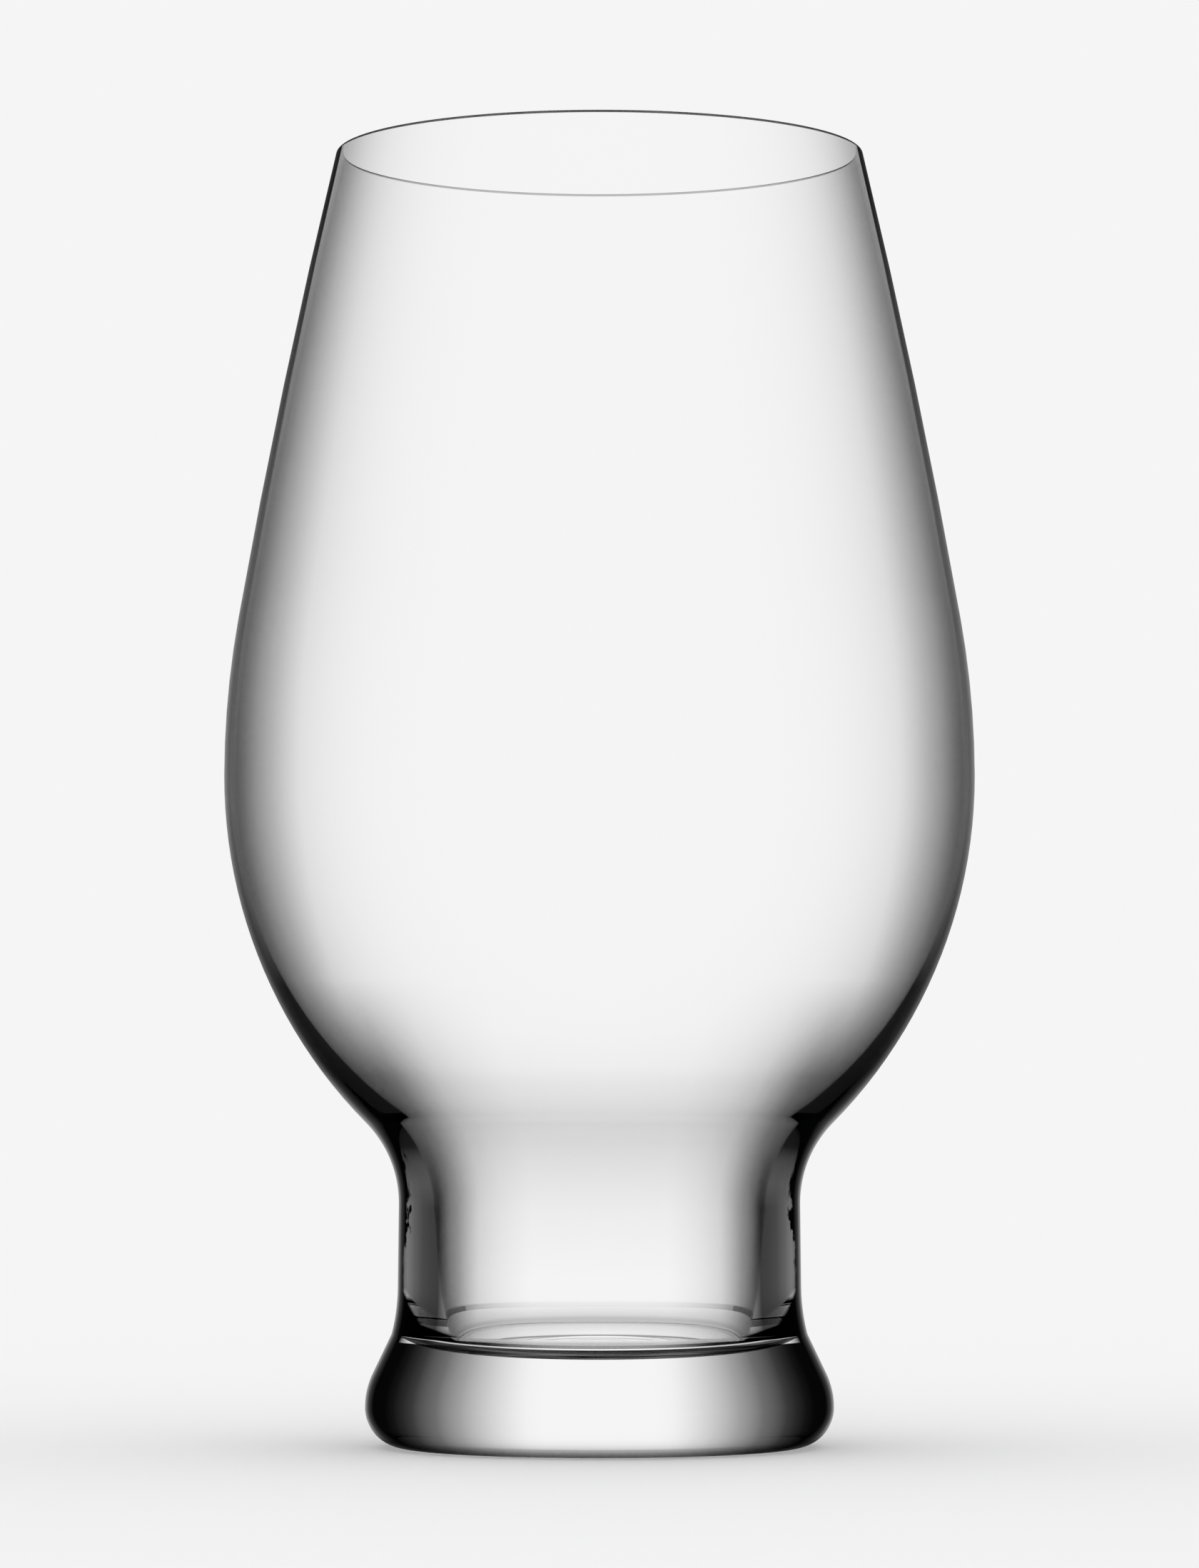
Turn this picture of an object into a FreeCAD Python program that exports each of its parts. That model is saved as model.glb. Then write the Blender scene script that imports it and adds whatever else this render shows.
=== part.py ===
"""A pale ale glass, one piece of clear glass, in millimetres.

The whole glass is one section turned round the vertical axis. From the base up, the outside is a
flat seat with a shallow hollow inside it, a rounded foot, a short slope, a crease where the foot
meets the waist, a narrow waist, a bowl that is widest at half height, and a long side that leans
in to the lip. The inside is a well that reaches down into the waist, and the bowl above it. The
wall is thin at the lip and thickens below the belly until it is heavy at the waist.

+Z is up and the origin is the centre of the base.
"""
import FreeCAD, Part
import math
import os

import Sketcher

# Driving dimensions. Lengths are in millimetres and angles in degrees.
SIZES = {
    # the whole glass
    "total_height": 152.0,
    "belly_radius": 44.0,
    "waist_radius": 23.47,
    "waist_length": 9.7,
    "foot_flare": 3.9,
    # outside curves, from the base up
    "seat_width": 5.0,
    "hollow_depth": 0.7,
    "foot_corner": 4.65,
    "foot_side": 9.0,
    "foot_slope": 25.6,
    "crease_fillet": 2.0,
    "crease_turn": 11.6,
    "foot_fillet": 22.5,
    "waist_taper": 0.6,
    "waist_sweep": 13.3,
    "bowl_curve": 57.9,
    "shoulder_curve": 106.0,
    "side_lean": 9.9,
    "side_curve": 940.0,
    # walls and the inside
    "side_wall": 0.66,
    "belly_wall": 0.81,
    "bowl_gather": 5.6,
    "throat_curve": 17.6,
    "waist_wall": 5.4,
    "well_taper": 5.0,
    "well_corner": 1.5,
    "floor_height": 9.6,
}


def make_sheet(doc):
    """Puts every driving dimension in a cell of its own, with its name as the alias."""
    sheet = doc.addObject("Spreadsheet::Sheet", "Sizes")
    for row, (name, value) in enumerate(SIZES.items(), start=1):
        sheet.set(f"A{row}", name)
        sheet.set(f"B{row}", str(value))
        sheet.setAlias(f"B{row}", name)
    doc.recompute()


def vec(x, y):
    """A point of the section, with x the radius and y the height."""
    return FreeCAD.Vector(x, y, 0)


def polar(angle):
    """The direction that rises by an angle, in radians, from outwards."""
    return vec(math.cos(angle), math.sin(angle))


def towards(start, end, length):
    """The point that lies a length from start, on the line to end."""
    return start + (end - start).normalize() * length


def arc(centre, start, end, convex):
    """The arc from start to end. Seen in the section, a convex one runs anticlockwise."""
    radius = (start - centre).Length
    first, last = (start, end) if convex else (end, start)
    angles = [math.atan2(point.y - centre.y, point.x - centre.x) for point in (first, last)]
    if angles[1] < angles[0]:
        angles[1] += 2 * math.pi
    circle = Part.Circle(centre, FreeCAD.Vector(0, 0, 1), radius)
    return Part.ArcOfCircle(circle, angles[0], angles[1])


def section_points(size):
    """Centres and joints of the section's arcs, worked out from the driving dimensions."""
    point = {}

    # base and foot
    foot_radius = size["waist_radius"] + size["foot_flare"]
    seat = foot_radius - size["foot_corner"]
    point["hollow_top"] = vec(0, size["hollow_depth"])
    point["hollow_edge"] = vec(seat - size["seat_width"], 0)
    hollow_curve = (point["hollow_edge"].x ** 2 + size["hollow_depth"] ** 2) / (2 * size["hollow_depth"])
    point["hollow_centre"] = vec(0, size["hollow_depth"] - hollow_curve)
    point["seat_edge"] = vec(seat, 0)
    point["corner_centre"] = vec(seat, size["foot_corner"])
    point["foot_widest"] = vec(foot_radius, size["foot_corner"])
    point["side_centre"] = point["foot_widest"] - vec(size["foot_side"], 0)
    slope = polar(math.radians(size["foot_slope"]))
    point["slope_foot"] = point["side_centre"] + slope * size["foot_side"]

    # crease and waist: the slope is as long as it takes for the waist to come out at its radius
    crease = polar(math.radians(size["foot_slope"] - size["crease_turn"]))
    waist = polar(math.radians(size["waist_taper"]))
    up_slope = vec(-slope.y, slope.x)
    up_waist = vec(-waist.y, waist.x)
    above = (slope - crease) * size["crease_fillet"] + (crease - waist) * size["foot_fillet"]
    above += up_waist * size["waist_length"] + waist * size["waist_sweep"]
    sweep_x = size["waist_radius"] + size["waist_sweep"]
    rise = (sweep_x - above.x - point["slope_foot"].x) / up_slope.x
    point["slope_top"] = point["slope_foot"] + up_slope * rise
    point["crease_centre"] = point["slope_top"] + slope * size["crease_fillet"]
    point["crease_top"] = point["crease_centre"] - crease * size["crease_fillet"]
    point["fillet_centre"] = point["crease_top"] + crease * size["foot_fillet"]
    point["waist_foot"] = point["fillet_centre"] - waist * size["foot_fillet"]
    point["waist_top"] = point["waist_foot"] + up_waist * size["waist_length"]
    point["sweep_centre"] = point["waist_top"] + waist * size["waist_sweep"]

    # outside of the bowl
    bowl_x = size["belly_radius"] - size["bowl_curve"]
    reach = size["bowl_curve"] + size["waist_sweep"]
    belly_y = point["sweep_centre"].y + math.sqrt(reach**2 - (sweep_x - bowl_x) ** 2)
    point["bowl_centre"] = vec(bowl_x, belly_y)
    point["bowl_foot"] = towards(point["bowl_centre"], point["sweep_centre"], size["bowl_curve"])
    point["belly"] = vec(size["belly_radius"], belly_y)
    point["shoulder_centre"] = vec(size["belly_radius"] - size["shoulder_curve"], belly_y)
    lean = polar(math.radians(size["side_lean"]))
    point["shoulder_top"] = point["shoulder_centre"] + lean * size["shoulder_curve"]
    point["long_centre"] = point["shoulder_top"] - lean * size["side_curve"]
    half_lip = size["side_wall"] / 2
    lip_y = size["total_height"] - half_lip
    lip_reach = math.sqrt((size["side_curve"] - half_lip) ** 2 - (lip_y - point["long_centre"].y) ** 2)
    point["lip_centre"] = vec(point["long_centre"].x + lip_reach, lip_y)
    point["lip_outer"] = towards(point["long_centre"], point["lip_centre"], size["side_curve"])

    # inside of the bowl
    inner_long = size["side_curve"] - size["side_wall"]
    point["lip_inner"] = towards(point["long_centre"], point["lip_centre"], inner_long)
    point["inner_belly"] = vec(size["belly_radius"] - size["belly_wall"], belly_y)
    span = point["inner_belly"] - point["long_centre"]
    inner_shoulder = (inner_long**2 - span.Length**2) / (2 * (inner_long - span.x))
    point["inner_shoulder_centre"] = point["inner_belly"] - vec(inner_shoulder, 0)
    point["inner_shoulder_top"] = towards(point["long_centre"], point["inner_shoulder_centre"], inner_long)
    point["inner_bowl_centre"] = point["bowl_centre"] + vec(size["bowl_gather"], 0)
    inner_bowl = point["inner_belly"].x - point["inner_bowl_centre"].x

    # well
    floor_edge = size["waist_radius"] - size["waist_wall"] - size["well_corner"]
    point["floor_centre"] = vec(0, size["floor_height"])
    point["floor_edge"] = vec(floor_edge, size["floor_height"])
    point["well_centre"] = point["floor_edge"] + vec(0, size["well_corner"])
    into_wall = polar(-math.radians(size["well_taper"]))
    up_wall = vec(-into_wall.y, into_wall.x)
    point["well_foot"] = point["well_centre"] + into_wall * size["well_corner"]
    level = point["well_foot"] + into_wall * size["throat_curve"]
    away = point["inner_bowl_centre"] - level
    along = away.dot(up_wall)
    across = away.dot(into_wall)
    climb = along - math.sqrt((inner_bowl + size["throat_curve"]) ** 2 - across**2)
    point["throat_centre"] = level + up_wall * climb
    point["well_top"] = point["well_foot"] + up_wall * climb
    point["throat_top"] = towards(point["inner_bowl_centre"], point["throat_centre"], inner_bowl)
    return point


# The edges of the section, anticlockwise from the axis: the outside, the lip, and down the inside.
# Each has the point that it starts at, and it ends where the next one starts. An arc also has its
# centre, and whether it bulges out of the glass.
EDGES = [
    ("hollow", "hollow_top", "hollow_centre", False),
    ("seat", "hollow_edge", None, None),
    ("corner", "seat_edge", "corner_centre", True),
    ("foot", "foot_widest", "side_centre", True),
    ("slope", "slope_foot", None, None),
    ("crease", "slope_top", "crease_centre", False),
    ("fillet", "crease_top", "fillet_centre", False),
    ("waist", "waist_foot", None, None),
    ("sweep", "waist_top", "sweep_centre", False),
    ("bowl", "bowl_foot", "bowl_centre", True),
    ("shoulder", "belly", "shoulder_centre", True),
    ("side", "shoulder_top", "long_centre", True),
    ("lip", "lip_outer", "lip_centre", True),
    ("inner_side", "lip_inner", "long_centre", False),
    ("inner_shoulder", "inner_shoulder_top", "inner_shoulder_centre", False),
    ("inner_bowl", "inner_belly", "inner_bowl_centre", False),
    ("throat", "throat_top", "throat_centre", True),
    ("well", "well_top", None, None),
    ("well_corner", "well_foot", "well_centre", False),
    ("floor", "floor_edge", None, None),
    ("axis", "floor_centre", None, None),
]
# A sketch keeps every arc anticlockwise, so one that bulges into the glass runs backwards
TURNED = {name for name, start, centre, convex in EDGES if convex is False}
# Each edge meets the next smoothly, except where the seat and the axis make a corner
SMOOTH_RUN = [name for name, *rest in EDGES if name not in ("hollow", "axis")]


def draw_section(sketch, point):
    """Draws the closed section and returns each edge's number."""
    ends = [start for name, start, *rest in EDGES[1:]] + [EDGES[0][1]]
    number = {}
    for (name, start, centre, convex), end in zip(EDGES, ends):
        if centre is None:
            shape = Part.LineSegment(point[start], point[end])
        else:
            shape = arc(point[centre], point[start], point[end], convex)
        number[name] = sketch.addGeometry(shape, False)
    return number


# Sketcher's own numbers for the points of an edge, and for the sketch's origin and axes
START, END, CENTRE = 1, 2, 3
ORIGIN = (-1, START)
LEVEL = -1
UPRIGHT = -2


def start_of(name):
    return END if name in TURNED else START


def end_of(name):
    return START if name in TURNED else END


def as_drawn(sketch, kind, terms):
    """The size that the drawn section has where a dimension is put."""
    shape = sketch.Geometry[terms[0]]
    if kind == "Radius":
        return shape.Radius
    if kind == "Angle" and hasattr(shape, "Radius"):
        return shape.LastParameter - shape.FirstParameter
    run = shape.EndPoint - shape.StartPoint if len(terms) == 1 else None
    if kind == "Angle":
        return math.atan2(run.y, run.x)
    if kind == "Distance":
        return run.Length
    run = sketch.getPoint(*terms[2:]) - sketch.getPoint(*terms[:2])
    return run.x if kind == "DistanceX" else run.y


def constrain_section(sketch, edge):
    """Joins the edges and ties every free size to the sheet."""

    def add(*terms):
        return sketch.addConstraint(Sketcher.Constraint(*terms))

    def tie(name, formula, kind, *terms):
        number = add(kind, *terms, as_drawn(sketch, kind, terms))
        sketch.renameConstraint(number, name)
        sketch.setExpression(f"Constraints.{name}", formula)

    for before, after in zip(SMOOTH_RUN, SMOOTH_RUN[1:]):
        add("Tangent", edge[before], end_of(before), edge[after], start_of(after))
    for before, after in (("hollow", "seat"), ("floor", "axis"), ("axis", "hollow")):
        add("Coincident", edge[before], end_of(before), edge[after], start_of(after))
    for name in ("seat", "floor"):
        add("Horizontal", edge[name])
    add("PointOnObject", edge["axis"], START, UPRIGHT)
    add("PointOnObject", edge["axis"], END, UPRIGHT)
    add("PointOnObject", edge["hollow"], CENTRE, UPRIGHT)
    add("PointOnObject", edge["seat"], START, LEVEL)
    for name in ("shoulder", "inner_shoulder", "inner_bowl"):
        add("Horizontal", edge["bowl"], CENTRE, edge[name], CENTRE)
    add("Horizontal", edge["corner"], CENTRE, edge["foot"], CENTRE)
    add("Coincident", edge["side"], CENTRE, edge["inner_side"], CENTRE)

    tie("seat_width", "Sizes.seat_width", "DistanceX", edge["seat"], START, edge["seat"], END)
    tie("foot_corner", "Sizes.foot_corner", "Radius", edge["corner"])
    tie("foot_side", "Sizes.foot_side", "Radius", edge["foot"])
    tie("foot_slope", "(90 + Sizes.foot_slope) * 1deg", "Angle", edge["slope"])
    tie("crease_fillet", "Sizes.crease_fillet", "Radius", edge["crease"])
    tie("crease_turn", "Sizes.crease_turn * 1deg", "Angle", edge["crease"])
    tie("foot_fillet", "Sizes.foot_fillet", "Radius", edge["fillet"])
    tie("waist_taper", "(90 + Sizes.waist_taper) * 1deg", "Angle", edge["waist"])
    tie("waist_length", "Sizes.waist_length", "Distance", edge["waist"])
    tie("waist_sweep", "Sizes.waist_sweep", "Radius", edge["sweep"])
    tie("bowl_curve", "Sizes.bowl_curve", "Radius", edge["bowl"])
    tie("shoulder_curve", "Sizes.shoulder_curve", "Radius", edge["shoulder"])
    tie("side_lean", "Sizes.side_lean * 1deg", "Angle", edge["shoulder"])
    tie("side_curve", "Sizes.side_curve", "Radius", edge["side"])
    tie("side_wall", "Sizes.side_wall / 2", "Radius", edge["lip"])
    inner_bowl = "Sizes.bowl_curve - Sizes.bowl_gather - Sizes.belly_wall"
    tie("inner_bowl", inner_bowl, "Radius", edge["inner_bowl"])
    tie("throat_curve", "Sizes.throat_curve", "Radius", edge["throat"])
    tie("well_taper", "-(90 + Sizes.well_taper) * 1deg", "Angle", edge["well"])
    tie("well_corner", "Sizes.well_corner", "Radius", edge["well_corner"])

    across = [
        ("foot_flare", "Sizes.waist_radius + Sizes.foot_flare", edge["corner"], END),
        ("waist_radius", "Sizes.waist_radius + Sizes.waist_sweep", edge["sweep"], CENTRE),
        ("belly_radius", "Sizes.belly_radius", edge["bowl"], END),
        ("inner_belly", "Sizes.belly_radius - Sizes.belly_wall", edge["inner_bowl"], END),
        ("floor_radius", "Sizes.waist_radius - Sizes.waist_wall - Sizes.well_corner", edge["floor"], START),
    ]
    for name, formula, *place in across:
        tie(name, formula, "DistanceX", *ORIGIN, *place)
    upwards = [
        ("hollow_depth", "Sizes.hollow_depth", edge["axis"], END),
        ("floor_height", "Sizes.floor_height", edge["floor"], START),
        ("total_height", "Sizes.total_height - Sizes.side_wall / 2", edge["lip"], CENTRE),
    ]
    for name, formula, *place in upwards:
        tie(name, formula, "DistanceY", *ORIGIN, *place)


def make_glass(doc):
    """Turns the section once round the upright axis."""
    body = doc.addObject("PartDesign::Body", "Glass")
    body.Label = "ipa_glass"
    sketch = body.newObject("Sketcher::SketchObject", "Section")
    plane = next(item for item in body.Origin.OriginFeatures if item.Role == "XZ_Plane")
    sketch.AttachmentSupport = (plane, [""])
    sketch.MapMode = "FlatFace"
    edge = draw_section(sketch, section_points(SIZES))
    constrain_section(sketch, edge)
    doc.recompute()
    turn = body.newObject("PartDesign::Revolution", "Turned")
    turn.Profile = sketch
    turn.ReferenceAxis = (sketch, ["V_Axis"])
    turn.Angle = 360.0
    body.Tip = turn
    doc.recompute()
    return body, sketch


def check(doc, bodies):
    """Stops at anything that FreeCAD left failed, before a file is written."""
    for item in doc.Objects:
        for word in ("Invalid", "Error"):
            if word in item.State:
                raise RuntimeError(f"{item.Name} is {item.State}")
    for body in bodies:
        if body.Shape.isNull() or not body.Shape.isValid() or len(body.Shape.Solids) != 1:
            raise RuntimeError(f"{body.Label} has no valid solid")


def main():
    doc = FreeCAD.newDocument("IpaGlass")
    make_sheet(doc)
    glass, sketch = make_glass(doc)
    if sketch.solve() != 0 or not sketch.FullyConstrained:
        raise RuntimeError("the section is not fully constrained")
    check(doc, [glass])
    os.makedirs("parts", exist_ok=True)
    glass.Shape.exportStep(f"parts/{glass.Label}.step")
    box = glass.Shape.BoundBox
    print(f"{glass.Label}: {box.XLength:.2f} x {box.YLength:.2f} x {box.ZLength:.2f} mm")
    print(f"glass {glass.Shape.Volume / 1000:.1f} cm3, faces {len(glass.Shape.Faces)}")


main()
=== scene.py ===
"""A pale ale glass of clear glass on a pale floor, in metres.

The glass is one smooth lathe piece. Its section has the same sizes and the same arcs as the solid
that it stands for, so that light bends through it as it does in the real one.
"""
import math
from types import SimpleNamespace

import bpy
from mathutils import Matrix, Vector


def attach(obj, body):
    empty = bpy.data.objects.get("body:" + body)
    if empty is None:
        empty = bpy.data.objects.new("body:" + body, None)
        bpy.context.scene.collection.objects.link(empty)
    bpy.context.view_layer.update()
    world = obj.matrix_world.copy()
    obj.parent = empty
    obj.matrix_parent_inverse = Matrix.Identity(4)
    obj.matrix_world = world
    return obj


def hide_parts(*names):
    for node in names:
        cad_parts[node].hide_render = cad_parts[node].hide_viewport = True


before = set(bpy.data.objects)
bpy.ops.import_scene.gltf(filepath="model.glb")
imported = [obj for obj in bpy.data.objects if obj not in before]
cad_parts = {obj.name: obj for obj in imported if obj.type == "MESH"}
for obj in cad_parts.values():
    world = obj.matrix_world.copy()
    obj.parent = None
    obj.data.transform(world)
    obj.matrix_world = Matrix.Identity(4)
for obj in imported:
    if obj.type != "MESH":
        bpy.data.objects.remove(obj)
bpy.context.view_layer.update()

MILLIMETRE = 0.001

# The driving sizes of the glass, in millimetres and degrees, with the same names as in the solid
SIZES = {
    "total_height": 152.0,
    "belly_radius": 44.0,
    "waist_radius": 23.47,
    "waist_length": 9.7,
    "foot_flare": 3.9,
    "seat_width": 5.0,
    "hollow_depth": 0.7,
    "foot_corner": 4.65,
    "foot_side": 9.0,
    "foot_slope": 25.6,
    "crease_fillet": 2.0,
    "crease_turn": 11.6,
    "foot_fillet": 22.5,
    "waist_taper": 0.6,
    "waist_sweep": 13.3,
    "bowl_curve": 57.9,
    "shoulder_curve": 106.0,
    "side_lean": 9.9,
    "side_curve": 940.0,
    "side_wall": 0.66,
    "belly_wall": 0.81,
    "bowl_gather": 5.6,
    "throat_curve": 17.6,
    "waist_wall": 5.4,
    "well_taper": 5.0,
    "well_corner": 1.5,
    "floor_height": 9.6,
}

# How finely the lathe is divided, with angles in radians. Only the lip turns by more than LIP_TURN.
SEGMENTS = 240
ARC_STEP = math.radians(2.0)
LIP_STEP = math.radians(12.0)
LIP_TURN = 3.0
FEWEST_STEPS = 4

# Colours and light levels, as linear values
BACKGROUND = 0.913
LAMP_LEVEL = 1.0
GLASS_IOR = 1.5
# Layer Weight's Blend at which its Facing is 1 less the cosine of the turn
PLAIN_BLEND = 0.5
# The upright share of a surface's direction above which it counts as level, as under the foot
FLAT_SHARE = 0.8
# Half way between 0 and 1, to tell the two apart
HALF_WAY = 0.5
# What happens at a surface, by its Fresnel reflection, which is 1 where all light is reflected:
# the part of the light that doesn't pass, and the painted shade on what it mirrors: how bright a
# studio that isn't in the scene is drawn in the reflection
LOSS = [
    (0.04, 0.0),
    (0.066, 0.052),
    (0.097, 0.113),
    (0.137, 0.175),
    (0.195, 0.242),
    (0.27, 0.291),
    (0.34, 0.333),
    (0.6, 0.45),
    (0.95, 0.7),
    (1.0, 1.0),
]
MIRRORED = [
    (0.04, 0.0),
    (0.25, 0.004),
    (0.34, 0.09),
    (0.4, 0.17),
    (0.47, 0.38),
    (0.58, 0.6),
    (1.0, 1.0),
]
# Painted edge shade, standing for a dark studio that isn't in the scene: how bright it is drawn
# behind a wall, by how far round the wall turns from the view: 0 faces the view, and 1 is side on.
# The heavier the glass, the further to the side it looks.
FOOT_VIEW = [
    (0.03, 1.0),
    (0.05, 0.97),
    (0.066, 0.91),
    (0.086, 0.82),
    (0.134, 0.62),
    (0.2, 0.38),
    (0.286, 0.17),
    (0.4, 0.048),
    (0.457, 0.024),
    (0.524, 0.008),
    (0.6, 0.002),
    (0.757, 0.001),
]
CREASE_VIEW = [
    (0.05, 1.0),
    (0.11, 0.75),
    (0.2, 0.6),
    (0.4, 0.55),
    (0.5, 0.85),
    (0.58, 0.8),
    (0.66, 0.3),
    (0.7, 0.0),
]
WAIST_VIEW = [
    (0.06, 1.0),
    (0.134, 0.9),
    (0.2, 0.79),
    (0.286, 0.42),
    (0.339, 0.29),
    (0.4, 0.057),
    (0.457, 0.07),
    (0.525, 0.1),
    (0.608, 0.2),
    (0.7, 0.39),
    (0.74, 0.37),
    (0.78, 0.04),
    (0.86, 0.02),
]
THROAT_VIEW = [
    (0.06, 1.0),
    (0.134, 0.93),
    (0.2, 0.82),
    (0.286, 0.53),
    (0.339, 0.36),
    (0.4, 0.3),
    (0.6, 0.28),
]
BELLY_VIEW = [
    (0.4, 1.0),
    (0.525, 0.77),
    (0.608, 0.667),
    (0.688, 0.52),
    (0.757, 0.42),
    (0.8, 0.32),
    (0.83, 0.18),
    (0.86, 0.12),
]
RIM_VIEW = [
    (0.68, 1.0),
    (0.72, 0.95),
    (0.757, 0.82),
    (0.778, 0.7),
    (0.79, 0.1),
    (0.8, 0.0),
]
# The heights, in millimetres, over which one view gives way to the next
FOOT_TO_CREASE = (12.4, 12.5)
CREASE_TO_WAIST = (13.3, 13.4)
WAIST_TO_THROAT = (28.0, 36.0)
THROAT_TO_BELLY = (43.0, 54.0)
BELLY_TO_RIM = (78.0, 146.0)
# Painted shade on the foot's lower edge and on the thick glass of the throat, by height in
# millimetres, and on the bottom of the well, by its radius: how much of the light seen through them is
# kept
OUTER_SHADE = [
    (0.3, 0.15),
    (0.8, 0.35),
    (1.25, 0.78),
    (1.7, 0.92),
    (2.2, 0.985),
    (3.0, 1.0),
    (20.0, 1.0),
    (23.6, 0.97),
    (27.6, 0.93),
    (31.6, 0.85),
    (35.6, 0.76),
    (37.2, 0.765),
    (39.6, 0.84),
    (44.0, 0.98),
    (48.0, 1.0),
]
WELL_SHADE = [
    (2.0, 1.0),
    (7.0, 0.88),
    (12.0, 0.78),
    (16.6, 0.6),
    (17.7, 0.58),
    (17.9, 0.65),
    (18.0, 0.71),
    (18.1, 0.81),
    (18.2, 0.91),
    (18.35, 1.0),
]
# Painted shade on what the inner and the outer walls mirror: how bright a studio that isn't in the
# scene is drawn in their reflections, by height in millimetres
INNER_MIRROR = [
    (12.2, 0.0),
    (13.6, 1.0),
    (31.0, 1.0),
    (34.0, 0.6),
    (36.0, 0.1),
    (40.0, 0.05),
    (54.0, 0.05),
    (75.0, 1.0),
]
OUTER_MIRROR = [
    (1.0, 0.1),
    (2.5, 1.0),
    (38.0, 1.0),
    (44.0, 0.4),
    (60.0, 0.4),
    (75.0, 0.6),
    (90.0, 0.6),
    (120.0, 0.3),
    (146.0, 0.1),
]
# Painted shade under the foot, by the Fresnel reflection of the light that leaves there: the table is
# drawn in the dark there but for what slips out level
UNDER_FOOT = [
    (0.045, 1.0),
    (0.065, 0.35),
    (0.12, 0.35),
    (0.2, 0.7),
    (0.4, 1.0),
]
# A painted highlight round the floor of the well, a band that mirrors everything, and a painted
# shadow over it, with their heights in millimetres and what the shadow lets through by its Fresnel
# reflection
EDGE_WIDTH = 0.16
EDGE_SHADOW_WIDTH = 0.4
EDGE_SHADOW = [
    (0.04, 0.75),
    (0.0436, 0.4),
    (0.06, 0.12),
    (0.08, 0.05),
]
# Painted shade in the corner under that highlight, from a little above the floor: dark, with fine
# streaks, and the stretch of the noise that makes them
CORNER_RISE = 0.02
CORNER_STREAKS = (0.0, 0.22)
STREAK_NOISE = (0.35, 0.7)
STREAK_SCALE = (90.0, 90.0, 2600.0)
# The turn at which the waist's pale band in the painted edge shade ends, how much earlier it ends by
# height in millimetres, and how far its ragged stretch strays, with the heights where that begins and
# the noise behind it
BAND_END = (0.75, 0.79)
BAND_BEND = [
    (13.4, 0.5),
    (14.2, 0.36),
    (14.6, 0.27),
    (16.3, 0.15),
    (18.5, 0.0),
    (22.0, 0.0),
    (25.0, 0.08),
    (32.0, 0.08),
    (34.0, 0.12),
    (36.0, 0.0),
]
RAGGED_STRAY = (-0.07, 0.07)
RAGGED_START = (18.0, 22.0)
RAGGED_NOISE = (0.3, 0.7)
RAGGED_SCALE = (650.0, 650.0, 650.0)
NOISE_DETAIL = 3.0
# Painted shade on the lip: how much of the light seen through it is kept, seen from outside and from
# inside
LIP_OUTSIDE = 0.12
LIP_INSIDE = 0.55
# How softly, in millimetres, the lip and the bands over the well's foot begin and end, and how far
# what is marked by its place keeps from the joints beside it
LIP_SOFTNESS = 0.02
BAND_SOFTNESS = 0.01
JOINT_GAP = 0.01

# The floor's half width in metres, and how far under the seat it lies in millimetres
FLOOR_HALF = 4.0
FLOOR_DROP = 0.05
# The camera in metres and radians, and its lens in millimetres, as fitted to the rim, the foot's
# lower edge and the outline
CAMERA_DISTANCE = 0.6878
CAMERA_HEIGHT = 0.03896
CAMERA_TILT = 0.05592
LENS_LENGTH = 134.66
SENSOR_WIDTH = 36.0
NEAREST_SEEN = 0.01


def polar(angle):
    """The direction at an angle from level, one unit long."""
    return Vector((math.cos(angle), math.sin(angle)))


def towards(start, end, length):
    """The point that lies a length from start, on the line to end."""
    return start + (end - start).normalized() * length


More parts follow.
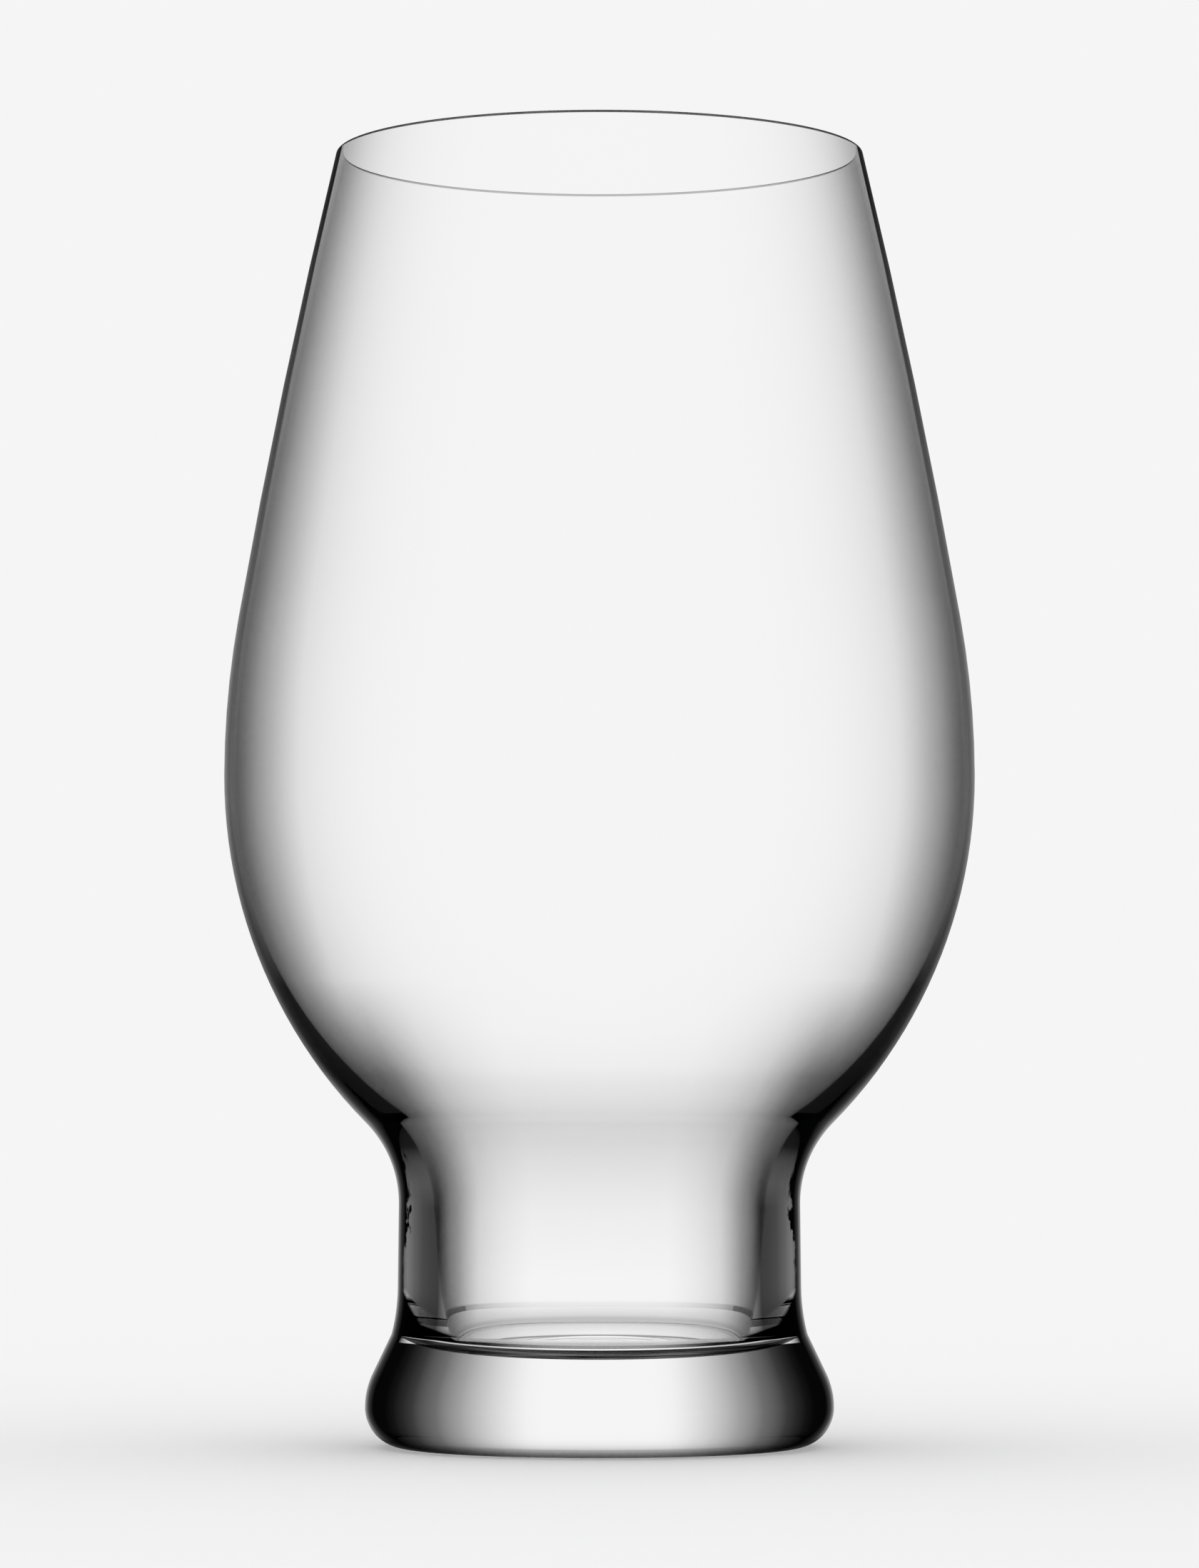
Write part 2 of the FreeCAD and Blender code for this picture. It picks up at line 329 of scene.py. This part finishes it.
def section_points(size):
    """Centres and joints of the section's arcs, with x the radius and y the height."""
    point = {}

    # base and foot
    foot_radius = size["waist_radius"] + size["foot_flare"]
    seat = foot_radius - size["foot_corner"]
    point["hollow_top"] = Vector((0, size["hollow_depth"]))
    point["hollow_edge"] = Vector((seat - size["seat_width"], 0))
    hollow_curve = (point["hollow_edge"].x ** 2 + size["hollow_depth"] ** 2) / (2 * size["hollow_depth"])
    point["hollow_centre"] = Vector((0, size["hollow_depth"] - hollow_curve))
    point["seat_edge"] = Vector((seat, 0))
    point["corner_centre"] = Vector((seat, size["foot_corner"]))
    point["foot_widest"] = Vector((foot_radius, size["foot_corner"]))
    point["side_centre"] = point["foot_widest"] - Vector((size["foot_side"], 0))
    slope = polar(math.radians(size["foot_slope"]))
    point["slope_foot"] = point["side_centre"] + slope * size["foot_side"]

    # crease and waist: the slope is as long as it takes for the waist to come out at its radius
    crease = polar(math.radians(size["foot_slope"] - size["crease_turn"]))
    waist = polar(math.radians(size["waist_taper"]))
    up_slope = Vector((-slope.y, slope.x))
    up_waist = Vector((-waist.y, waist.x))
    above = (slope - crease) * size["crease_fillet"] + (crease - waist) * size["foot_fillet"]
    above += up_waist * size["waist_length"] + waist * size["waist_sweep"]
    sweep_x = size["waist_radius"] + size["waist_sweep"]
    rise = (sweep_x - above.x - point["slope_foot"].x) / up_slope.x
    point["slope_top"] = point["slope_foot"] + up_slope * rise
    point["crease_centre"] = point["slope_top"] + slope * size["crease_fillet"]
    point["crease_top"] = point["crease_centre"] - crease * size["crease_fillet"]
    point["fillet_centre"] = point["crease_top"] + crease * size["foot_fillet"]
    point["waist_foot"] = point["fillet_centre"] - waist * size["foot_fillet"]
    point["waist_top"] = point["waist_foot"] + up_waist * size["waist_length"]
    point["sweep_centre"] = point["waist_top"] + waist * size["waist_sweep"]

    # outside of the bowl
    bowl_x = size["belly_radius"] - size["bowl_curve"]
    reach = size["bowl_curve"] + size["waist_sweep"]
    belly_y = point["sweep_centre"].y + math.sqrt(reach**2 - (sweep_x - bowl_x) ** 2)
    point["bowl_centre"] = Vector((bowl_x, belly_y))
    point["bowl_foot"] = towards(point["bowl_centre"], point["sweep_centre"], size["bowl_curve"])
    point["belly"] = Vector((size["belly_radius"], belly_y))
    point["shoulder_centre"] = Vector((size["belly_radius"] - size["shoulder_curve"], belly_y))
    lean = polar(math.radians(size["side_lean"]))
    point["shoulder_top"] = point["shoulder_centre"] + lean * size["shoulder_curve"]
    point["long_centre"] = point["shoulder_top"] - lean * size["side_curve"]
    half_lip = size["side_wall"] / 2
    lip_y = size["total_height"] - half_lip
    lip_reach = math.sqrt((size["side_curve"] - half_lip) ** 2 - (lip_y - point["long_centre"].y) ** 2)
    point["lip_centre"] = Vector((point["long_centre"].x + lip_reach, lip_y))
    point["lip_outer"] = towards(point["long_centre"], point["lip_centre"], size["side_curve"])

    # inside of the bowl
    inner_long = size["side_curve"] - size["side_wall"]
    point["lip_inner"] = towards(point["long_centre"], point["lip_centre"], inner_long)
    point["inner_belly"] = Vector((size["belly_radius"] - size["belly_wall"], belly_y))
    span = point["inner_belly"] - point["long_centre"]
    inner_shoulder = (inner_long**2 - span.length_squared) / (2 * (inner_long - span.x))
    point["inner_shoulder_centre"] = point["inner_belly"] - Vector((inner_shoulder, 0))
    point["inner_shoulder_top"] = towards(point["long_centre"], point["inner_shoulder_centre"], inner_long)
    point["inner_bowl_centre"] = point["bowl_centre"] + Vector((size["bowl_gather"], 0))
    inner_bowl = point["inner_belly"].x - point["inner_bowl_centre"].x

    # well
    floor_edge = size["waist_radius"] - size["waist_wall"] - size["well_corner"]
    point["floor_centre"] = Vector((0, size["floor_height"]))
    point["floor_edge"] = Vector((floor_edge, size["floor_height"]))
    point["well_centre"] = point["floor_edge"] + Vector((0, size["well_corner"]))
    into_wall = polar(-math.radians(size["well_taper"]))
    up_wall = Vector((-into_wall.y, into_wall.x))
    point["well_foot"] = point["well_centre"] + into_wall * size["well_corner"]
    level = point["well_foot"] + into_wall * size["throat_curve"]
    away = point["inner_bowl_centre"] - level
    climb = away.dot(up_wall)
    climb -= math.sqrt((inner_bowl + size["throat_curve"]) ** 2 - away.dot(into_wall) ** 2)
    point["throat_centre"] = level + up_wall * climb
    point["well_top"] = point["well_foot"] + up_wall * climb
    point["throat_top"] = towards(point["inner_bowl_centre"], point["throat_centre"], inner_bowl)
    return point


# The section from the middle of the base, round the outside and down the inside, to the well floor.
# Each run has the point that it starts at, and it ends where the next one starts. An arc also has
# its centre, and whether it bulges out of the glass.
SECTION = [
    ("hollow_top", "hollow_centre", False),
    ("hollow_edge", None, None),
    ("seat_edge", "corner_centre", True),
    ("foot_widest", "side_centre", True),
    ("slope_foot", None, None),
    ("slope_top", "crease_centre", False),
    ("crease_top", "fillet_centre", False),
    ("waist_foot", None, None),
    ("waist_top", "sweep_centre", False),
    ("bowl_foot", "bowl_centre", True),
    ("belly", "shoulder_centre", True),
    ("shoulder_top", "long_centre", True),
    ("lip_outer", "lip_centre", True),
    ("lip_inner", "long_centre", False),
    ("inner_shoulder_top", "inner_shoulder_centre", False),
    ("inner_belly", "inner_bowl_centre", False),
    ("throat_top", "throat_centre", True),
    ("well_top", None, None),
    ("well_foot", "well_centre", False),
    ("floor_edge", None, None),
]


def divide_arc(centre, start, end, convex):
    """Points along an arc, each with its outward direction."""
    radius = (start - centre).length
    first = math.atan2(start.y - centre.y, start.x - centre.x)
    turn = math.atan2(end.y - centre.y, end.x - centre.x) - first
    if convex and turn < 0:
        turn += 2 * math.pi
    if not convex and turn > 0:
        turn -= 2 * math.pi
    step = LIP_STEP if abs(turn) > LIP_TURN else ARC_STEP
    count = max(FEWEST_STEPS, math.ceil(abs(turn) / step))
    run = []
    for index in range(count + 1):
        outward = polar(first + turn * index / count)
        run.append((centre + outward * radius, outward if convex else -outward))
    return run


def divide_line(start, end):
    """Points along a straight run, each with its outward direction."""
    along = (end - start).normalized()
    outward = Vector((along.y, -along.x))
    return [(start + (end - start) * share, outward) for share in (0.0, 0.5, 1.0)]


def glass_section():
    """The whole section as points and outward directions, with each joint only once."""
    point = section_points(SIZES)
    ends = [start for start, *rest in SECTION[1:]] + ["floor_centre"]
    rows = []
    for (start, centre, convex), end in zip(SECTION, ends):
        if centre is None:
            run = divide_line(point[start], point[end])
        else:
            run = divide_arc(point[centre], point[start], point[end], convex)
        rows.extend(run if not rows else run[1:])
    return rows


def lathe_rings(rings):
    """Corners and outward directions of the rings that a section's points turn into."""
    corners = []
    normals = []
    for place, outward in rings:
        radius = place.x * MILLIMETRE
        for index in range(SEGMENTS):
            angle = 2 * math.pi * index / SEGMENTS
            across, along = math.cos(angle), math.sin(angle)
            corners.append((radius * across, radius * along, place.y * MILLIMETRE))
            normals.append((outward.x * across, outward.x * along, outward.y))
    return corners, normals


def lathe_faces(ring_count):
    """Faces between neighbouring rings, and from the first and the last ring to its pole."""
    pairs = [(index, (index + 1) % SEGMENTS) for index in range(SEGMENTS)]
    faces = []
    for ring in range(ring_count - 1):
        low, high = ring * SEGMENTS, (ring + 1) * SEGMENTS
        faces += [(low + index, low + after, high + after, high + index) for index, after in pairs]
    base_pole = ring_count * SEGMENTS
    floor_pole = base_pole + 1
    last_ring = base_pole - SEGMENTS
    faces += [(base_pole, after, index) for index, after in pairs]
    faces += [(floor_pole, last_ring + index, last_ring + after) for index, after in pairs]
    return faces


def turn_section(name, rows):
    """Turns a section that starts and ends on the axis into a closed mesh with true normals."""
    rings = rows[1:-1]
    corners, normals = lathe_rings(rings)
    corners += [(0, 0, place.y * MILLIMETRE) for place, outward in (rows[0], rows[-1])]
    normals += [(0, 0, -1), (0, 0, 1)]
    mesh = bpy.data.meshes.new(name)
    mesh.from_pydata(corners, [], lathe_faces(len(rings)))
    mesh.shade_smooth()
    mesh.normals_split_custom_set_from_vertices(normals)
    return mesh


def mark_rows(mesh, name, marks):
    """Stores each row's mark on the points that the row turns into, for the material to read."""
    values = [float(mark) for mark in marks[1:-1] for _ in range(SEGMENTS)]
    values += [float(marks[0]), float(marks[-1])]
    mesh.attributes.new(name, "FLOAT", "POINT").data.foreach_set("value", values)


def add_object(name, data):
    """Puts an object in the scene."""
    added = bpy.data.objects.new(name, data)
    bpy.context.scene.collection.objects.link(added)
    return added


def empty_tree(owner):
    """Gives a material or a world an empty node tree."""
    owner.use_nodes = True
    owner.node_tree.nodes.clear()
    return owner.node_tree


def feed(tree, socket, source):
    """Links a source to an input, or sets the input where the source is a plain value."""
    if isinstance(source, bpy.types.NodeSocket):
        tree.links.new(source, socket)
    else:
        socket.default_value = source


def add_node(tree, kind, sources=(), **settings):
    """Adds a node. Each source is an input's name or number with a value, or what is linked to it."""
    node = tree.nodes.new(kind)
    for name, value in settings.items():
        setattr(node, name, value)
    for name, source in dict(sources).items():
        feed(tree, node.inputs[name], source)
    return node


def add_math(tree, operation, first, second=0.0):
    """Maths on one or two grey values."""
    return add_node(tree, "ShaderNodeMath", {0: first, 1: second}, operation=operation).outputs["Value"]


def add_product(tree, first, *others):
    """The product of several grey values."""
    for other in others:
        first = add_math(tree, "MULTIPLY", first, other)
    return first


def add_vector(tree, operation, first, second=(0.0, 0.0, 0.0)):
    """Vector maths, which gives a value for a length and a vector for the rest."""
    node = add_node(tree, "ShaderNodeVectorMath", {0: first, 1: second}, operation=operation)
    return node.outputs["Value" if operation == "LENGTH" else "Vector"]


def level_part(tree, vector):
    """The level part of a place or a direction."""
    return add_vector(tree, "MULTIPLY", vector, (1.0, 1.0, 0.0))


def add_blend(tree, factor, first, second):
    """Blends two grey values."""
    node = add_node(tree, "ShaderNodeMix", {"Factor": factor}, data_type="FLOAT")
    for name, source in (("A", first), ("B", second)):
        socket = next(item for item in node.inputs if item.name == name and item.type == "VALUE")
        feed(tree, socket, source)
    return next(item for item in node.outputs if item.type == "VALUE")


def add_spread(tree, value, start, end):
    """Spreads the values between two limits over two others."""
    names = ("From Min", "From Max", "To Min", "To Max")
    sources = {"Value": value, **dict(zip(names, (*start, *end)))}
    return add_node(tree, "ShaderNodeMapRange", sources).outputs["Result"]


def add_step(tree, length, limits):
    """Rises from 0 to 1 as a height or a radius passes between two limits in millimetres."""
    low, high = limits
    sources = {"Value": length, "From Min": low * MILLIMETRE, "From Max": high * MILLIMETRE}
    return add_node(tree, "ShaderNodeMapRange", sources).outputs["Result"]


def add_band(tree, height, low, high):
    """1 between two heights in millimetres, and 0 below and above them."""
    rise = add_step(tree, height, (low - BAND_SOFTNESS, low))
    fall = add_step(tree, height, (high, high + BAND_SOFTNESS))
    return add_math(tree, "SUBTRACT", rise, fall)


def add_ramp(tree, factor, stops):
    """A grey that follows a list of stops, each with its place and its value."""
    node = add_node(tree, "ShaderNodeValToRGB", {"Fac": factor})
    elements = node.color_ramp.elements
    elements[0].position, elements[1].position = stops[0][0], stops[-1][0]
    for place, value in stops[1:-1]:
        elements.new(place)
    for element, (place, value) in zip(elements, stops):
        element.color = (value, value, value, 1.0)
    return node.outputs["Color"]


def add_length_ramp(tree, length, stops):
    """A grey that follows a height or a radius, with each stop's place in millimetres."""
    low, high = stops[0][0], stops[-1][0]
    share = add_step(tree, length, (low, high))
    return add_ramp(tree, share, [((place - low) / (high - low), value) for place, value in stops])


def add_noise(tree, at, scale):
    """Fine noise over the glass, stretched by its three scales, that breaks up the painted shade."""
    stretched = add_vector(tree, "MULTIPLY", at.place, scale)
    sources = {"Vector": stretched, "Scale": 1.0, "Detail": NOISE_DETAIL}
    return add_node(tree, "ShaderNodeTexNoise", sources).outputs["Fac"]


def read_mark(tree, name):
    """What mark_rows stored on the mesh."""
    return add_node(tree, "ShaderNodeAttribute", attribute_name=name).outputs["Fac"]


def read_surface(tree):
    """What the glass's material reads where light meets its surface."""
    geometry = add_node(tree, "ShaderNodeNewGeometry")
    normal, leaving = geometry.outputs["Normal"], geometry.outputs["Backfacing"]
    upright = add_node(tree, "ShaderNodeSeparateXYZ", {0: normal}).outputs["Z"]
    place = add_node(tree, "ShaderNodeTexCoord").outputs["Object"]
    outside = read_mark(tree, "outside")
    inside = add_math(tree, "SUBTRACT", 1.0, outside)
    return SimpleNamespace(
        normal=normal,
        place=place,
        height=add_node(tree, "ShaderNodeSeparateXYZ", {0: place}).outputs["Z"],
        radius=add_vector(tree, "LENGTH", level_part(tree, place)),
        flat=add_math(tree, "GREATER_THAN", add_math(tree, "ABSOLUTE", upright), FLAT_SHARE),
        outside=outside,
        inside=inside,
        foot_edge=add_math(tree, "GREATER_THAN", read_mark(tree, "foot_edge"), HALF_WAY),
        leaving=leaving,
        leaving_inwards=add_product(tree, leaving, inside),
        entering=add_math(tree, "SUBTRACT", 1.0, leaving),
        fresnel=add_node(tree, "ShaderNodeFresnel", {"IOR": GLASS_IOR}).outputs["Fac"],
    )


def wall_turn(tree, at):
    """How far a wall turns from the view, with its slope left out or counted, whichever is less."""
    around = add_vector(tree, "NORMALIZE", level_part(tree, at.normal))
    without_slope = add_node(tree, "ShaderNodeLayerWeight", {"Blend": PLAIN_BLEND, "Normal": around})
    with_slope = add_node(tree, "ShaderNodeLayerWeight", {"Blend": PLAIN_BLEND})
    return add_math(tree, "MINIMUM", without_slope.outputs["Facing"], with_slope.outputs["Facing"])


def pale_band(tree, at, turn):
    """1 on the waist's pale band in the painted edge shade and 0 beyond its outer edge, which is ragged in
    its upper part.
    """
    stray = add_spread(tree, add_noise(tree, at, RAGGED_SCALE), RAGGED_NOISE, RAGGED_STRAY)
    stray = add_product(tree, stray, add_step(tree, at.height, RAGGED_START))
    turn = add_math(tree, "ADD", turn, add_length_ramp(tree, at.height, BAND_BEND))
    return add_spread(tree, add_math(tree, "ADD", turn, stray), BAND_END, (1.0, 0.0))


def painted_edge_shade(tree, at):
    """Painted edge shade on an outer wall, by the wall's turn from the view: it stands for a dark studio
    that isn't in the scene.
    """
    turn = wall_turn(tree, at)
    band = pale_band(tree, at, turn)
    view = add_ramp(tree, turn, FOOT_VIEW)
    changes = (
        (FOOT_TO_CREASE, add_ramp(tree, turn, CREASE_VIEW)),
        (CREASE_TO_WAIST, add_product(tree, add_ramp(tree, turn, WAIST_VIEW), band)),
        (WAIST_TO_THROAT, add_product(tree, add_ramp(tree, turn, THROAT_VIEW), band)),
        (THROAT_TO_BELLY, add_ramp(tree, turn, BELLY_VIEW)),
        (BELLY_TO_RIM, add_ramp(tree, turn, RIM_VIEW)),
    )
    for limits, next_view in changes:
        view = add_blend(tree, add_step(tree, at.height, limits), view, next_view)
    return add_product(tree, view, add_length_ramp(tree, at.height, OUTER_SHADE))


def passing_colour(tree, at, point):
    """How much of the light that meets a surface is seen through it, as painted shade."""
    # painted edge shade on the outer walls, but not for the light that reaches the floor
    depth = add_node(tree, "ShaderNodeLightPath").outputs["Diffuse Depth"]
    seen = add_math(tree, "LESS_THAN", depth, HALF_WAY)
    outer = add_product(tree, at.entering, at.outside, seen)
    wall = add_blend(tree, outer, 1.0, painted_edge_shade(tree, at))

    # painted shade on the lip
    lip_y = point["lip_centre"].y
    lip = add_step(tree, at.height, (lip_y - LIP_SOFTNESS, lip_y + LIP_SOFTNESS))
    lip_shade = add_blend(tree, at.outside, LIP_INSIDE, LIP_OUTSIDE)
    wall = add_blend(tree, add_product(tree, lip, at.entering), wall, lip_shade)

    # painted shade at the bottom of the well, and under the foot
    well = add_product(tree, at.entering, at.inside)
    well = add_blend(tree, well, 1.0, add_length_ramp(tree, at.radius, WELL_SHADE))
    under = add_product(tree, at.leaving, at.outside, at.flat)
    under = add_blend(tree, under, 1.0, add_ramp(tree, at.fresnel, UNDER_FOOT))

    # painted shadow over the painted highlight round the floor of the well
    low = point["well_foot"].y + EDGE_WIDTH
    shadow = add_band(tree, at.height, low, low + EDGE_SHADOW_WIDTH)
    shadow = add_product(tree, shadow, at.leaving_inwards)
    shadow = add_blend(tree, shadow, 1.0, add_ramp(tree, at.fresnel, EDGE_SHADOW))
    return add_product(tree, wall, well, under, shadow)


def painted_mirror_level(tree, at):
    """Painted shade on what a surface mirrors: how bright a studio that isn't in the scene is drawn in it.
    """
    inner_level = add_length_ramp(tree, at.height, INNER_MIRROR)
    outer_level = add_length_ramp(tree, at.height, OUTER_MIRROR)
    level = add_blend(tree, at.outside, inner_level, outer_level)
    mirrored = add_product(tree, add_ramp(tree, at.fresnel, MIRRORED), level)

    # level glass mirrors in full, without the painted shade, apart from the outer side where light enters
    # it
    entering_outer = add_product(tree, at.entering, at.outside)
    in_full = add_math(tree, "SUBTRACT", at.flat, entering_outer)
    return add_math(tree, "MAXIMUM", mirrored, in_full)


def clear_glass():
    """Clear glass: what isn't lost or mirrored passes through and bends, with painted shade and a painted
    highlight in its colours.
    """
    material = bpy.data.materials.new("clear_glass")
    tree = empty_tree(material)
    point = section_points(SIZES)
    at = read_surface(tree)
    floor, well_foot = point["floor_edge"].y, point["well_foot"].y
    # painted highlight: a band round the floor of the well that passes nothing and mirrors everything
    edge = add_band(tree, at.height, well_foot, well_foot + EDGE_WIDTH)
    edge = add_product(tree, edge, at.leaving_inwards)
    # painted shade in the corner under the highlight: dark, with fine streaks
    corner = add_band(tree, at.height, floor + CORNER_RISE, well_foot - JOINT_GAP)
    corner = add_product(tree, corner, at.leaving_inwards)
    streaks = add_spread(tree, add_noise(tree, at, STREAK_SCALE), STREAK_NOISE, CORNER_STREAKS)

    # what passes, with its painted shade
    clear = add_blend(tree, corner, passing_colour(tree, at, point), streaks)
    bending = {"Color": clear, "Roughness": 0.0, "IOR": GLASS_IOR}
    through = add_node(tree, "ShaderNodeBsdfRefraction", bending)

    # what is mirrored, with painted shade: the painted highlight round the floor of the well mirrors
    # everything
    mirrored = add_blend(tree, corner, painted_mirror_level(tree, at), streaks)
    mirrored = add_math(tree, "MAXIMUM", mirrored, edge)
    mirror = add_node(tree, "ShaderNodeBsdfGlossy", {"Color": mirrored, "Roughness": 0.0})

    # at the foot's rounded edge, what doesn't bend goes straight on and isn't mirrored
    straight = add_node(tree, "ShaderNodeBsdfRefraction", {"Roughness": 0.0, "IOR": 1.0})
    caught = add_product(tree, at.leaving, at.foot_edge)
    kept = add_node(tree, "ShaderNodeMixShader", {0: caught, 1: mirror.outputs[0], 2: straight.outputs[0]})
    share = add_math(tree, "MAXIMUM", add_ramp(tree, at.fresnel, LOSS), edge)
    mix = add_node(tree, "ShaderNodeMixShader", {0: share, 1: through.outputs[0], 2: kept.outputs[0]})
    add_node(tree, "ShaderNodeOutputMaterial", {"Surface": mix.outputs[0]})
    return material


def make_glass():
    """The glass, with its outside and the foot's rounded edge marked for its material."""
    point = section_points(SIZES)
    rows = glass_section()
    heights = [place.y for place, outward in rows]
    lip = heights.index(max(heights))
    outside = [row < lip for row in range(len(rows))]
    edge_start = point["seat_edge"].x + JOINT_GAP
    edge_top = point["slope_top"].y - JOINT_GAP
    rounded = [place.x > edge_start and place.y < edge_top for place, outward in rows]
    mesh = turn_section("glass", rows)
    mark_rows(mesh, "outside", outside)
    mark_rows(mesh, "foot_edge", [all(marks) for marks in zip(outside, rounded)])
    mesh.materials.append(clear_glass())
    piece = add_object("glass", mesh)
    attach(piece, "root")
    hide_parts("ipa_glass")


def make_floor():
    """A pale floor, just under the seat, that shows as the background does."""
    half, height = FLOOR_HALF, -FLOOR_DROP * MILLIMETRE
    corners = [(-half, -half, height), (half, -half, height), (half, half, height), (-half, half, height)]
    mesh = bpy.data.meshes.new("floor")
    mesh.from_pydata(corners, [], [(0, 1, 2, 3)])
    material = bpy.data.materials.new("floor")
    tree = empty_tree(material)
    paint = add_node(tree, "ShaderNodeBsdfDiffuse", {"Color": (BACKGROUND, BACKGROUND, BACKGROUND, 1.0)})
    add_node(tree, "ShaderNodeOutputMaterial", {"Surface": paint.outputs[0]})
    mesh.materials.append(material)
    floor = add_object("floor", mesh)
    floor.visible_transmission = False
    floor.visible_glossy = False


def make_world():
    """An even surround that lights at a plain level and shows as pale as the floor that it lights."""
    world = bpy.data.worlds.new("studio")
    bpy.context.scene.world = world
    tree = empty_tree(world)
    path = add_node(tree, "ShaderNodeLightPath")
    seen = add_math(tree, "ADD", path.outputs["Is Camera Ray"], path.outputs["Is Glossy Ray"])
    seen = add_math(tree, "ADD", seen, path.outputs["Is Transmission Ray"])
    seen = add_math(tree, "MINIMUM", seen, 1.0)
    level = add_blend(tree, seen, LAMP_LEVEL, BACKGROUND)
    surround = add_node(tree, "ShaderNodeBackground", {"Color": (1.0, 1.0, 1.0, 1.0), "Strength": level})
    add_node(tree, "ShaderNodeOutputWorld", {"Surface": surround.outputs[0]})


def make_camera():
    """The photograph's view: from just above the waist, tilted a little up."""
    lens = bpy.data.cameras.new("camera")
    lens.sensor_fit = "AUTO"
    lens.sensor_width = SENSOR_WIDTH
    lens.lens = LENS_LENGTH
    lens.clip_start = NEAREST_SEEN
    camera = add_object("camera", lens)
    camera.location = (0.0, -CAMERA_DISTANCE, CAMERA_HEIGHT)
    camera.rotation_euler = (math.pi / 2 + CAMERA_TILT, 0.0, 0.0)
    bpy.context.scene.camera = camera


make_glass()
make_floor()
make_world()
make_camera()
bpy.context.scene.view_settings.view_transform = "Standard"
